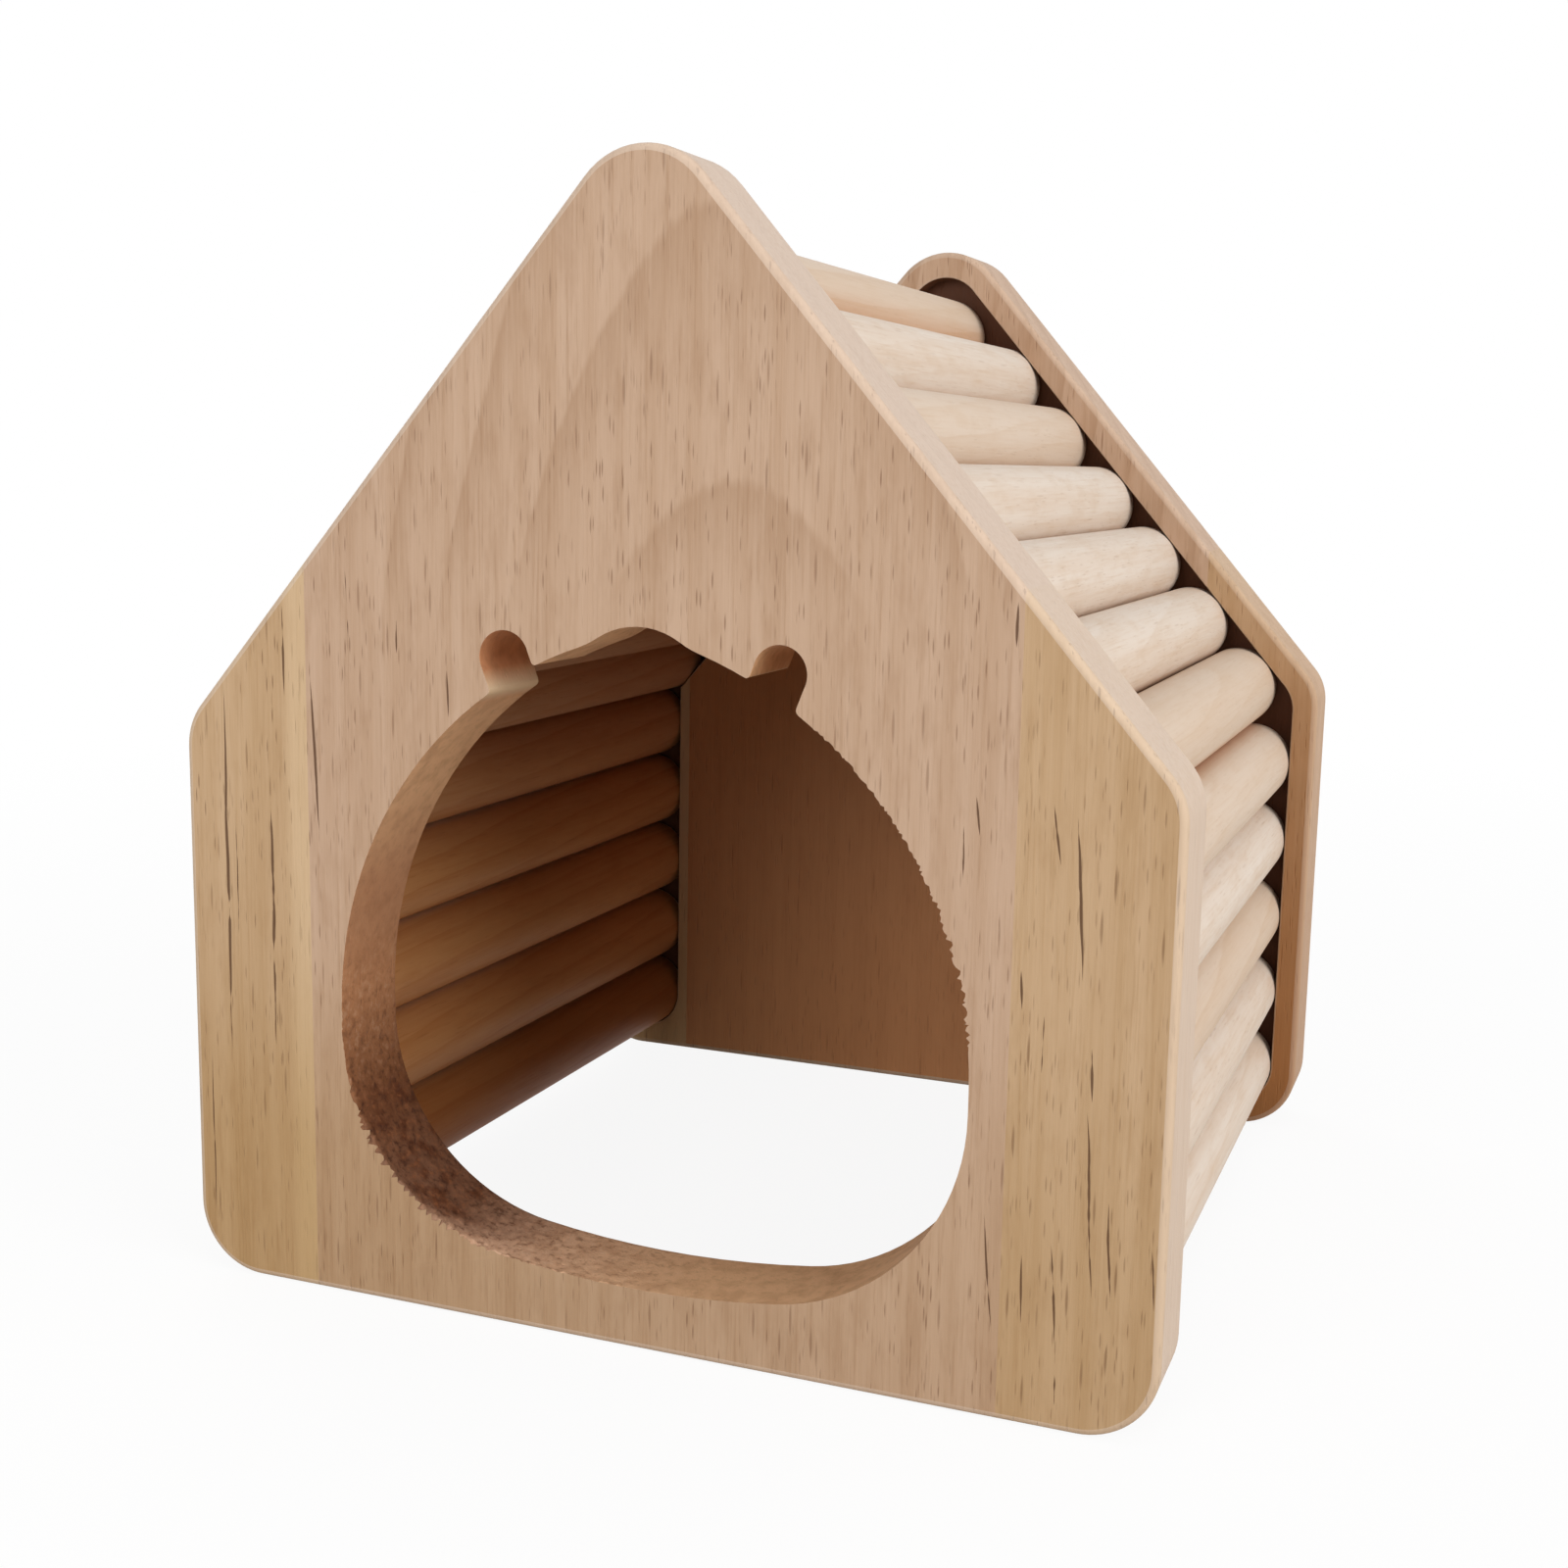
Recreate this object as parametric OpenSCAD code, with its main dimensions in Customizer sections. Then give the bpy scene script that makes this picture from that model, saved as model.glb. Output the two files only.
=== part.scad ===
// Wooden small animal hideout.
// Two gabled end panels, each glued up from three staves, carry a row of round
// dowels that makes the side walls and the roof. The dowel ends sit in a groove
// routed round the inner face of each panel. An animal head is cut out of the
// front panel as the door, and the house has no floor.
// Millimetres. The origin is on the ground, in the middle of the footprint.
// +X is to the right as seen from the front, +Y to the back, +Z up.

/* [Panels] */
// Width of an end panel across its two upright edges
panel_w = 125; // [115:1:155]
// Height of the upright edges, up to the start of the roof slope
eave_h = 71.5; // [65:0.5:95]
// Slope of the roof edges above the horizontal, in degrees
roof_pitch = 49.2; // [44:0.2:55]
// Thickness of the boards
panel_t = 12; // [9:0.5:18]
// Radius of the rounded ridge
ridge_r = 9.5; // [3:0.5:14]
// Radius of the rounded eaves
eave_r = 8; // [3:0.5:16]
// Radius of the rounded bottom corners
foot_r = 9; // [2:0.5:14]
// Clear depth of the room between the two panels
room_d = 102; // [60:1:160]

/* [Staves] */
// Width of the narrow stave on each side of a panel
side_stave_w = 18; // [12:0.5:21]

/* [Groove] */
// Width of the rim left between the groove and the panel's edges
rim_w = 3.8; // [2.5:0.1:6]
// Depth of the groove in the inner face
groove_d = 4; // [2:0.5:6]

/* [Dowels] */
// Diameter of a dowel
dowel_d = 12.1; // [9:0.1:13]
// Width that the groove has to spare over a dowel
dowel_fit = 0.25; // [0.1:0.05:0.6]
// Least gap between neighbouring dowels
dowel_gap = 0.15; // [0.1:0.05:1.5]
// Chamfer round each end of a dowel
dowel_chamfer = 0.8; // [0.3:0.1:1.5]

/* [Door] */
// Height of the sill above the ground
sill_h = 7.6; // [5:0.1:12]
// Wood left between the door's cheeks and the glue line on each side
cheek_wall = 4.3; // [2:0.1:14]
// Height of the upright part of the cheeks, above the jaw corners
cheek_rise = 2.9; // [0.5:0.1:8]
// How far past the middle of the door the centre of each cheek curve lies
cheek_lean = 8.7; // [2:0.1:16]
// Radius of the sill, which is slightly hollow
sill_r = 125; // [80:5:300]
// Radius of the jaw corners above the sill
jaw_r = 26; // [18:0.5:28]
// Height of the crown above the place where the two cheek curves would meet
crown_rise = 0.7; // [0.3:0.1:6]
// Radius of the crown
crown_r = 9.5; // [6:0.5:14]
// Radius of the hollow curve on each side of the crown
crown_hollow_r = 10; // [4:0.5:16]
// Distance between the centres of the ears
ear_span = 34.4; // [29:0.2:39]
// Depth of the ears' centres below the place where the two cheek curves would meet
ear_drop = 3.7; // [0:0.1:6]
// Radius of an ear
ear_r = 3.2; // [2:0.1:4.5]

/* [Hidden] */
$fn = 96;

// How far a cutting solid runs past the face that it cuts through
cut_extra = 1;

// The cutter dwells at the ends and bends of a slot and leaves it a hair wider there, so
// that its arcs cross the straight sides cleanly instead of grazing them
cutter_dwell = 0.04;

house_d = room_d + 2 * panel_t;
apex_h = eave_h + panel_w / 2 * tan(roof_pitch);
glue_x = panel_w / 2 - side_stave_w;

// The groove's centre line keeps the same distance from every edge of the panel.
// Its bend under the ridge and its bends at the eaves are track_apex_z and track_eave_z.
groove_w = dowel_d + dowel_fit;
track = rim_w + groove_w / 2;
track_x = panel_w / 2 - track;
track_apex_z = apex_h - track / cos(roof_pitch);
track_eave_z = track_apex_z - track_x * tan(roof_pitch);
track_slope = track_x / cos(roof_pitch);

// Two dowels beside each other are at least one step apart. The last dowel of the
// roof stops short of the bend at the eaves by a share of a step, and the last dowel
// of the wall lies one step from it, whatever the roof pitch.
dowel_len = room_d + 2 * groove_d;
dowel_step = dowel_d + dowel_gap;
roof_lead = 0.36 * dowel_step;
wall_lead = sqrt(dowel_step ^ 2 - (roof_lead * cos(roof_pitch)) ^ 2) - roof_lead * sin(roof_pitch);

// The wall dowels fill the upright part of the groove from its foot upwards
wall_run = track_eave_z - wall_lead - track;
wall_count = floor(wall_run / dowel_step) + 1;
wall_step = wall_run / (wall_count - 1);

// The ridge dowel lies in the crotch of the groove, and the roof dowels fill the
// slope from one step beside it down to the eaves
ridge_z = track_apex_z - groove_w / 2 / cos(roof_pitch) + groove_w / 2;
ridge_drop = track_apex_z - ridge_z;
roof_start = ridge_drop * sin(roof_pitch) + sqrt(dowel_step ^ 2 - (ridge_drop * cos(roof_pitch)) ^ 2);
roof_run = track_slope - roof_lead - roof_start;
roof_count = floor(roof_run / dowel_step) + 1;
roof_step = roof_run / (roof_count - 1);

// The door stays inside the middle stave. Its jaw corners touch the sill's arc from
// inside, and each cheek curve carries on from the upright part of its cheek.
cheek_w = 2 * (glue_x - cheek_wall);
sill_z = sill_h + sill_r;
jaw_x = cheek_w / 2 - jaw_r;
jaw_z = sill_z - sqrt((sill_r - jaw_r) ^ 2 - jaw_x ^ 2);
cheek_h = jaw_z + cheek_rise;
cheek_r = cheek_w / 2 + cheek_lean;
brow_h = cheek_h + sqrt(cheek_r ^ 2 - cheek_lean ^ 2);

// Node names of the dowels in one row, counted from 1
function row_names(row, count) = [for (i = [1:count]) str(row, "_dowel_", i)];

function unit(v) = v / norm(v);

// The two points where an arc of radius r leaves the sides of a corner, and its centre
function rounded_corner(before, corner, after, r) =
    let (
        back = unit(before - corner),
        ahead = unit(after - corner),
        half = acos(back * ahead) / 2,
        reach = r / tan(half)
    )
    [corner + back * reach, corner + ahead * reach, corner + unit(back + ahead) * r / sin(half)];

// The point to the right of line ab that lies ra from a and rb from b
function meeting_point(a, ra, b, rb) =
    let (
        span = norm(b - a),
        along = unit(b - a),
        reach = (span ^ 2 + ra ^ 2 - rb ^ 2) / (2 * span)
    )
    a + along * reach + [along[1], -along[0]] * sqrt(ra ^ 2 - reach ^ 2);

// A convex outline whose corners are rounded. Each corner is [x, z, radius].
module rounded_outline(corners) {
    count = len(corners);
    points = [for (c = corners) [c[0], c[1]]];
    cuts = [
        for (i = [0:count - 1])
            rounded_corner(points[(i + count - 1) % count], points[i], points[(i + 1) % count], corners[i][2])
    ];
    polygon([for (cut = cuts) each [cut[0], cut[1]]]);
    for (i = [0:count - 1])
        translate(cuts[i][2]) circle(r = corners[i][2]);
}

// A straight slot with round ends, as a router bit leaves it
module slot(from, to, width) {
    run = to - from;
    translate(from) rotate(atan2(run[1], run[0]))
        translate([0, -width / 2]) square([norm(run), width]);
    for (end = [from, to])
        translate(end) circle(d = width + cutter_dwell);
}

module panel_outline() {
    rounded_outline([
        [-panel_w / 2, 0, foot_r],
        [panel_w / 2, 0, foot_r],
        [panel_w / 2, eave_h, eave_r],
        [0, apex_h, ridge_r],
        [-panel_w / 2, eave_h, eave_r]
    ]);
}

module groove_outline() {
    bends = [
        [-track_x, track],
        [-track_x, track_eave_z],
        [0, track_apex_z],
        [track_x, track_eave_z],
        [track_x, track]
    ];
    for (i = [0:len(bends) - 2])
        slot(bends[i], bends[i + 1], groove_w);
}

// Lower half of the head, from the sill up to the cheeks. The sill's arc runs between
// the lines from its centre through the centres of the jaw corners.
module jaw_outline() {
    past = 2 * [jaw_x, jaw_z - sill_z] * sill_r / (sill_r - jaw_r);
    for (side = [-1, 1])
        translate([side * jaw_x, jaw_z]) circle(r = jaw_r);
    intersection() {
        translate([0, sill_z]) circle(r = sill_r);
        translate([0, sill_z]) polygon([[0, 0], past, [-past[0], past[1]]]);
        translate([-cheek_w / 2, 0]) square([cheek_w, cheek_h]);
    }
    translate([-cheek_w / 2, jaw_z]) square([cheek_w, cheek_rise]);
}

// Upper half of the head, where the two cheek curves lean in on each other
module brow_outline() {
    intersection() {
        translate([-cheek_lean, cheek_h]) circle(r = cheek_r);
        translate([cheek_lean, cheek_h]) circle(r = cheek_r);
        translate([-cheek_w / 2, cheek_h]) square([cheek_w, cheek_r]);
    }
}

// Round crown, blended into the cheek curve on each side by a hollow arc
module crown_outline() {
    crown = [0, brow_h + crown_rise - crown_r];
    cheek = [-cheek_lean, cheek_h];
    hollow = meeting_point(cheek, cheek_r + crown_hollow_r, crown, crown_r + crown_hollow_r);
    translate(crown) circle(r = crown_r);
    for (side = [0, 1])
        mirror([side, 0])
            difference() {
                polygon([cheek, hollow, crown]);
                translate(hollow) circle(r = crown_hollow_r);
            }
}

// Each ear is a short slot that runs in towards the middle of the head
module ear_outline(side) {
    slot([side * ear_span / 2, brow_h - ear_drop], [0, cheek_h], 2 * ear_r);
}

// Stands an outline up and gives it a depth, from y = 0 towards the back
module upright(depth) {
    translate([0, depth, 0]) rotate([90, 0, 0]) linear_extrude(height = depth) children();
}

// A cut through the whole thickness of a panel
module door_cut() {
    translate([0, -cut_extra, 0]) upright(panel_t + 2 * cut_extra) children();
}

// The grooved front panel in its place, still in one piece
module front_panel() {
    translate([0, -house_d / 2, 0])
        difference() {
            upright(panel_t) panel_outline();
            translate([0, panel_t - groove_d, 0]) upright(groove_d + cut_extra) groove_outline();
            door_cut() jaw_outline();
            door_cut() brow_outline();
            door_cut() crown_outline();
            door_cut() ear_outline(-1);
            door_cut() ear_outline(1);
        }
}

module back_panel() {
    mirror([0, 1, 0])
        translate([0, -house_d / 2, 0])
            difference() {
                upright(panel_t) panel_outline();
                translate([0, panel_t - groove_d, 0]) upright(groove_d + cut_extra) groove_outline();
            }
}

// The part of a panel between two glue lines
module stave(from_x, to_x) {
    intersection() {
        children();
        translate([from_x, -house_d / 2, 0]) cube([to_x - from_x, house_d, apex_h]);
    }
}

module front_left_stave() {
    color("burlywood") stave(-panel_w / 2, -glue_x) front_panel();
}

module front_middle_stave() {
    color("tan") stave(-glue_x, glue_x) front_panel();
}

module front_right_stave() {
    color("burlywood") stave(glue_x, panel_w / 2) front_panel();
}

module back_left_stave() {
    color("burlywood") stave(-panel_w / 2, -glue_x) back_panel();
}

module back_middle_stave() {
    color("tan") stave(-glue_x, glue_x) back_panel();
}

module back_right_stave() {
    color("burlywood") stave(glue_x, panel_w / 2) back_panel();
}

// One dowel from groove floor to groove floor, with its axis at the given x and z
module dowel(x, z) {
    r = dowel_d / 2;
    color("antiquewhite")
        translate([x, -dowel_len / 2, z]) rotate([-90, 0, 0])
            rotate_extrude()
                polygon([
                    [0, 0],
                    [r - dowel_chamfer, 0],
                    [r, dowel_chamfer],
                    [r, dowel_len - dowel_chamfer],
                    [r - dowel_chamfer, dowel_len],
                    [0, dowel_len]
                ]);
}

module ridge_dowel() {
    dowel(0, ridge_z);
}

// Roof dowels are counted from the ridge down, wall dowels from the ground up.
// The side is -1 on the left and 1 on the right.
module roof_dowel(side, i) {
    along = roof_start + (i - 1) * roof_step;
    dowel(side * along * cos(roof_pitch), track_apex_z - along * sin(roof_pitch));
}

module wall_dowel(side, i) {
    dowel(side * track_x, track + (i - 1) * wall_step);
}

front_left_stave();
front_middle_stave();
front_right_stave();
back_left_stave();
back_middle_stave();
back_right_stave();
ridge_dowel();
for (i = [1:roof_count]) {
    roof_dowel(-1, i);
    roof_dowel(1, i);
}
for (i = [1:wall_count]) {
    wall_dowel(-1, i);
    wall_dowel(1, i);
}
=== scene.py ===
# %% [markdown]
# # A wooden hideout for a small animal
# The house is two gabled end boards with a row of round dowels between them. Every solid was
# drawn first in CAD, and this notebook dresses those solids: it eases the edges, tears a few
# fibres where the cutter left the door, and gives the wood its rings, pores and streaks.
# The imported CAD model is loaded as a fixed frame, so each piece goes where its solid says.

# %% Load the frame
import math
import random

import bmesh
import bpy
from mathutils import Matrix, Quaternion, Vector, noise as noise_at


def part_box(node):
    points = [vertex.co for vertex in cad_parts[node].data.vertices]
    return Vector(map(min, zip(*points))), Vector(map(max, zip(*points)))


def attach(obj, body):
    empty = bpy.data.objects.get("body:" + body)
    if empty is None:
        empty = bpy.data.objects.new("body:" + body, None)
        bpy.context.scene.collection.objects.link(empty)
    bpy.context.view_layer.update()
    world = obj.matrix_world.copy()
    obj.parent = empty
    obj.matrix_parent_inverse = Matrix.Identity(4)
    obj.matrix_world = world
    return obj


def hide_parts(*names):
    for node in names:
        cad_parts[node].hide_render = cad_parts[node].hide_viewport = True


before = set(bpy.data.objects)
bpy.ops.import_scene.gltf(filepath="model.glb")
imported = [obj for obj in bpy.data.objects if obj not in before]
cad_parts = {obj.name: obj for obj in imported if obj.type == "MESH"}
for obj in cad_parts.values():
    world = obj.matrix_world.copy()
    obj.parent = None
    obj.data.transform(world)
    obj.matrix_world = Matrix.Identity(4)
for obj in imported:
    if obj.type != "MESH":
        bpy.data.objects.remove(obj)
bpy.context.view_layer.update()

# %% [markdown]
# ## The camera
# The photograph was taken close up, from the front, a little to the right and above the eaves.
# Its place was worked out from the edges of the end boards. A camera could be turned by three
# angles, but a point to look at is easier to read, so it is aimed near the middle of the house
# and then rolled by one degree, as it was held.

# %% Camera
scene = bpy.context.scene
eye = Vector((0.09571, -0.26284, 0.10484))
aim = Vector((-0.0045, -0.00535, 0.0597))
roll = Quaternion((0, 0, 1), math.radians(1.045))
lens = bpy.data.cameras.new("close_up_lens")
lens.sensor_width = 36.0
lens.lens = 45.15
lens.clip_start = 0.01
camera = bpy.data.objects.new("camera", lens)
scene.collection.objects.link(camera)
camera.location = eye
camera.rotation_mode = "QUATERNION"
camera.rotation_quaternion = (aim - eye).to_track_quat("-Z", "Y") @ roll
scene.camera = camera
print("the camera is", round((aim - eye).length, 3), "m from its aim")

# %% [markdown]
# ## Lamps
# A window-like lamp on the right makes the roof and the right-hand edges the palest surfaces. A
# smaller one in front, a little to the left, shines through the door onto the right half of the
# back wall. A weak one above softens the shadows, and one behind shows the back to a visitor who
# walks round. Points or suns would be simpler, but they draw hard shadows. So the lamps are wide
# squares, and weak enough that a colour comes out about as it is written.

# %% Lamps
scene.view_settings.view_transform = "Standard"
house_middle = Vector((0, 0, 0.07))


def soft_lamp(name, place, size, watts):
    """A square lamp that faces the middle of the house."""
    data = bpy.data.lights.new(name, "AREA")
    data.shape = "SQUARE"
    data.size = size
    data.energy = watts
    lamp = bpy.data.objects.new(name, data)
    scene.collection.objects.link(lamp)
    lamp.location = place
    lamp.rotation_mode = "QUATERNION"
    lamp.rotation_quaternion = (house_middle - Vector(place)).to_track_quat("-Z", "Y")


soft_lamp("window_right", (0.78, -0.23, 0.33), 0.70, 5.0)
soft_lamp("room_front", (-0.10, -0.62, 0.23), 0.26, 1.42)
soft_lamp("lamp_above", (0.12, -0.10, 0.70), 0.45, 0.6)
soft_lamp("room_back", (-0.60, 0.55, 0.40), 0.60, 2.2)

# %% [markdown]
# ## Small helpers for shader nodes
# Wood needs many nodes, and writing each link by hand hides the idea. These helpers add a node,
# fill its inputs with values or with other nodes' outputs, and hand back what it puts out.
# Colours are written as they look on a screen, from 0 to 255, and turned into linear light.

# %% Node helpers
def tint(red, green, blue):
    """A colour as seen on a screen, in linear light."""
    def linear(v):
        v /= 255
        return v / 12.92 if v <= 0.04045 else ((v + 0.055) / 1.055) ** 2.4
    return (linear(red), linear(green), linear(blue), 1.0)


def add(tree, kind, inputs=None, **settings):
    """A new node with its settings, and its inputs set or linked."""
    made = tree.nodes.new(kind)
    for name, value in settings.items():
        setattr(made, name, value)
    for name, value in (inputs or {}).items():
        if isinstance(value, bpy.types.NodeSocket):
            tree.links.new(value, made.inputs[name])
        else:
            made.inputs[name].default_value = value
    return made


def calc(tree, operation, first, second=0.0, clamp=False):
    """One step of arithmetic."""
    step = add(tree, "ShaderNodeMath", {0: first, 1: second}, operation=operation, use_clamp=clamp)
    return step.outputs[0]


def times(tree, first, second):
    """first * second"""
    return calc(tree, "MULTIPLY", first, second)


def scaled(tree, value, factor, base):
    """base + factor * value"""
    step = add(tree, "ShaderNodeMath", {0: value, 1: factor, 2: base}, operation="MULTIPLY_ADD")
    return step.outputs[0]


def vector_calc(tree, operation, first, second):
    """One step of arithmetic on vectors."""
    return add(tree, "ShaderNodeVectorMath", {0: first, 1: second}, operation=operation).outputs[0]


def axes(tree, place):
    """The X, Y and Z of a place."""
    return add(tree, "ShaderNodeSeparateXYZ", {0: place}).outputs


def ease(tree, value, low, high):
    """0 at low, 1 at high, and smooth between. Low may be the larger one."""
    step = add(tree, "ShaderNodeMapRange", {"Value": value, "From Min": low, "From Max": high},
               interpolation_type="SMOOTHSTEP")
    return step.outputs["Result"]


def mix(tree, share, first, second):
    """First colour where the share is 0, second where it is 1."""
    both = add(tree, "ShaderNodeMix", {0: share, 6: first, 7: second}, data_type="RGBA")
    return both.outputs[2]


def noise(tree, place, across, along, detail=2.0, rough=0.5, output=0):
    """Soft noise in grains of so many millimetres across, and so many along Z, the wood's grain."""
    squeezed = vector_calc(tree, "MULTIPLY", place, (1 / across, 1 / across, 1 / along))
    inputs = {"Vector": squeezed, "Scale": 1.0, "Detail": detail, "Roughness": rough}
    return add(tree, "ShaderNodeTexNoise", inputs).outputs[output]


print("the screen's middle grey in linear light:", [round(v, 3) for v in tint(128, 128, 128)[:3]])

# %% [markdown]
# ## The sky
# The house was photographed against plain white. A white sky would also light it from all round
# and leave no shade, so the sky answers each ray by its kind: what the camera sees of it, straight
# or in a reflection, is white, and what it gives as light is a dim grey.

# %% Sky
sky_as_light, sky_as_seen = 0.38, 1.0


def seen_share(tree):
    """1 for a ray that shows a surface to the camera, 0 for light that bounces about."""
    ray = add(tree, "ShaderNodeLightPath").outputs
    plain = calc(tree, "MAXIMUM", ray["Is Camera Ray"], ray["Is Glossy Ray"])
    return calc(tree, "MAXIMUM", plain, ray["Is Transmission Ray"])


sky = bpy.data.worlds.new("plain_sky")
scene.world = sky
sky.use_nodes = True
tree = sky.node_tree
tree.nodes.clear()
level = add(tree, "ShaderNodeMapRange",
            {"Value": seen_share(tree), "To Min": sky_as_light, "To Max": sky_as_seen}).outputs["Result"]
glow = add(tree, "ShaderNodeBackground", {"Color": (1, 1, 1, 1), "Strength": level}).outputs[0]
add(tree, "ShaderNodeOutputWorld", {"Surface": glow})
print("sky:", len(tree.nodes), "nodes")

# %% [markdown]
# ## Node groups
# What more than one wood shows, such as pores, could be copied from material to material. A node
# group is built once instead, with named inputs and outputs, and each wood gives it other values.

# %% Group helpers
def new_group(name, inputs, outputs):
    """An empty shader group. Inputs are (label, kind, value), outputs (label, kind)."""
    tree = bpy.data.node_groups.new(name, "ShaderNodeTree")
    for label, kind, value in inputs:
        socket = tree.interface.new_socket(name=label, in_out="INPUT", socket_type="NodeSocket" + kind)
        if value is not None:
            socket.default_value = value
    for label, kind in outputs:
        tree.interface.new_socket(name=label, in_out="OUTPUT", socket_type="NodeSocket" + kind)
    return tree, tree.nodes.new("NodeGroupInput").outputs, tree.nodes.new("NodeGroupOutput").inputs


def use(tree, group, **inputs):
    """Places a group in a tree. Input names are written with _ for a space."""
    named = {name.replace("_", " "): value for name, value in inputs.items()}
    return add(tree, "ShaderNodeGroup", named, node_tree=group).outputs


print("groups so far:", len(bpy.data.node_groups))

# %% [markdown]
# ## Growth rings
# A tree's rings are nested cones round its pith. A board cut beside the pith slices through them
# and shows arches, and a board cut further out shows straight bands. One formula gives both: the
# distance from a leaning pith line, cut into rings. The wood darkens towards the end of each
# season and starts pale again, so the distance inside a ring is cubed. Place is in millimetres
# with the grain along Z.

# %% Growth rings group
ring_sockets = [("Pith X", "Float", 0.0), ("Pith Y", "Float", 0.0), ("Lean", "Float", 0.1),
                ("First ring", "Float", 0.0), ("Ring width", "Float", 5.0), ("Wander", "Float", 3.0)]
ring_fray = 0.45

rings, g, out = new_group(
    "growth_rings", [("Place", "Vector", None)] + ring_sockets, [("Latewood", "Float")])
drift = calc(rings, "SUBTRACT", noise(rings, g["Place"], 22, 70), 0.5)
fray = calc(rings, "SUBTRACT", noise(rings, g["Place"], 0.9, 9.0, 3.0), 0.5)
xyz = axes(rings, g["Place"])
across = calc(rings, "SUBTRACT", xyz[0], g["Pith X"])
away = calc(rings, "SUBTRACT", scaled(rings, xyz[2], g["Lean"], g["Pith Y"]), xyz[1])
squares = calc(rings, "ADD", calc(rings, "POWER", across, 2.0), calc(rings, "POWER", away, 2.0))
radius = calc(rings, "SQRT", squares)
radius = scaled(rings, drift, g["Wander"], radius)
radius = scaled(rings, fray, ring_fray, radius)
count = calc(rings, "DIVIDE", calc(rings, "SUBTRACT", radius, g["First ring"]), g["Ring width"])
within = calc(rings, "FRACT", count)
late = times(rings, calc(rings, "POWER", within, 3.0), ease(rings, within, 1.0, 0.94))
rings.links.new(late, out["Latewood"])
print("group:", rings.name, len(rings.nodes), "nodes")

# %% [markdown]
# ## Pores
# This wood has large vessels. Cut lengthwise they are short dark dashes, and cut across they are
# dots, so a solid pattern of long thin grains gives the right mark on every face by itself. Cells
# of a Voronoi texture, stretched along the grain, are such grains, and a random number in each
# cell decides whether it holds a pore. Sway bends the rows a little, as the grain does.

# %% Pores group
pores, g, out = new_group(
    "pores",
    [("Place", "Vector", None), ("Width", "Float", 0.7), ("Length", "Float", 12.0),
     ("Share", "Float", 0.4), ("Sway", "Float", 0.6)],
    [("Pore", "Float")])
bend = vector_calc(pores, "SUBTRACT", noise(pores, g["Place"], 8, 20, output="Color"), (0.5, 0.5, 0.5))
sway = add(pores, "ShaderNodeCombineXYZ", {0: g["Sway"], 1: g["Sway"]}).outputs[0]
bent = vector_calc(pores, "ADD", g["Place"], vector_calc(pores, "MULTIPLY", bend, sway))
cell = add(pores, "ShaderNodeCombineXYZ", {0: g["Width"], 1: g["Width"], 2: g["Length"]}).outputs[0]
bent = vector_calc(pores, "DIVIDE", bent, cell)
vessel = add(pores, "ShaderNodeTexVoronoi", {"Vector": bent, "Scale": 1.0}, feature="F1").outputs
lot = add(pores, "ShaderNodeSeparateColor", {0: vessel["Color"]}).outputs
core = ease(pores, vessel["Distance"], 0.34, 0.10)
held = calc(pores, "LESS_THAN", lot[0], g["Share"])
depth = scaled(pores, lot[1], 0.7, 0.3)
pores.links.new(times(pores, times(pores, core, held), depth), out["Pore"])
print("group:", pores.name, len(pores.nodes), "nodes")

# %% [markdown]
# ## Fibres
# Between the pores the wood is not one colour: fine threads run the whole length, broad soft
# bands drift from pale to tan, blotches lie where the plane met the fibres at a slant, and clouds
# say where pores crowd together. All are noise drawn out along the grain, at several widths.

# %% Fibres group
fibres, g, out = new_group(
    "fibres", [("Place", "Vector", None)],
    [("Fine", "Float"), ("Broad", "Float"), ("Blotch", "Float"), ("Cloud", "Float")])
for label, wide, long, detail, rough in (("Fine", 0.38, 11, 3.0, 0.6), ("Broad", 3.0, 90, 2.0, 0.5),
                                         ("Blotch", 2.6, 9, 3.0, 0.6), ("Cloud", 30, 55, 1.0, 0.5)):
    fibres.links.new(noise(fibres, g["Place"], wide, long, detail, rough), out[label])
print("group:", fibres.name, len(fibres.nodes), "nodes")

# %% [markdown]
# ## Bare wood
# Rings, fibres and pores together make a planed board. All three woods of the house are this one
# group with other colours: Pale and Tan for the body, Late for the end of each season, Pore for
# the vessels. Figure says how much of the rings shows, and Pores how open the wood is.

# %% Bare wood group
bare_wood, g, out = new_group(
    "bare_wood",
    [("Place", "Vector", None), ("Pale", "Color", None), ("Tan", "Color", None), ("Late", "Color", None),
     ("Pore", "Color", None)] + ring_sockets + [("Figure", "Float", 0.5), ("Pores", "Float", 1.0)],
    [("Colour", "Color"), ("Fine", "Float"), ("Broad", "Float"), ("Dark", "Float")])
ring_inputs = {label: g[label] for label in ["Place"] + [socket[0] for socket in ring_sockets]}
ring = add(bare_wood, "ShaderNodeGroup", ring_inputs, node_tree=rings).outputs
fibre = use(bare_wood, fibres, Place=g["Place"])
small = use(bare_wood, pores, Place=g["Place"], Width=0.42, Length=3.8, Share=0.6, Sway=0.3)["Pore"]
large = use(bare_wood, pores, Place=g["Place"], Width=0.66, Length=7.5, Share=0.15, Sway=0.4)["Pore"]
crowd = scaled(bare_wood, ease(bare_wood, fibre["Cloud"], 0.35, 0.62), 0.4, 0.3)
dark = calc(bare_wood, "MAXIMUM", times(bare_wood, small, crowd), times(bare_wood, large, 0.7))
dark = times(bare_wood, dark, g["Pores"])
colour = mix(bare_wood, ease(bare_wood, fibre["Broad"], 0.3, 0.7), g["Pale"], g["Tan"])
blotch = times(bare_wood, ease(bare_wood, fibre["Blotch"], 0.45, 0.75), 0.35)
figure = times(bare_wood, ring["Latewood"], g["Figure"])
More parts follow.
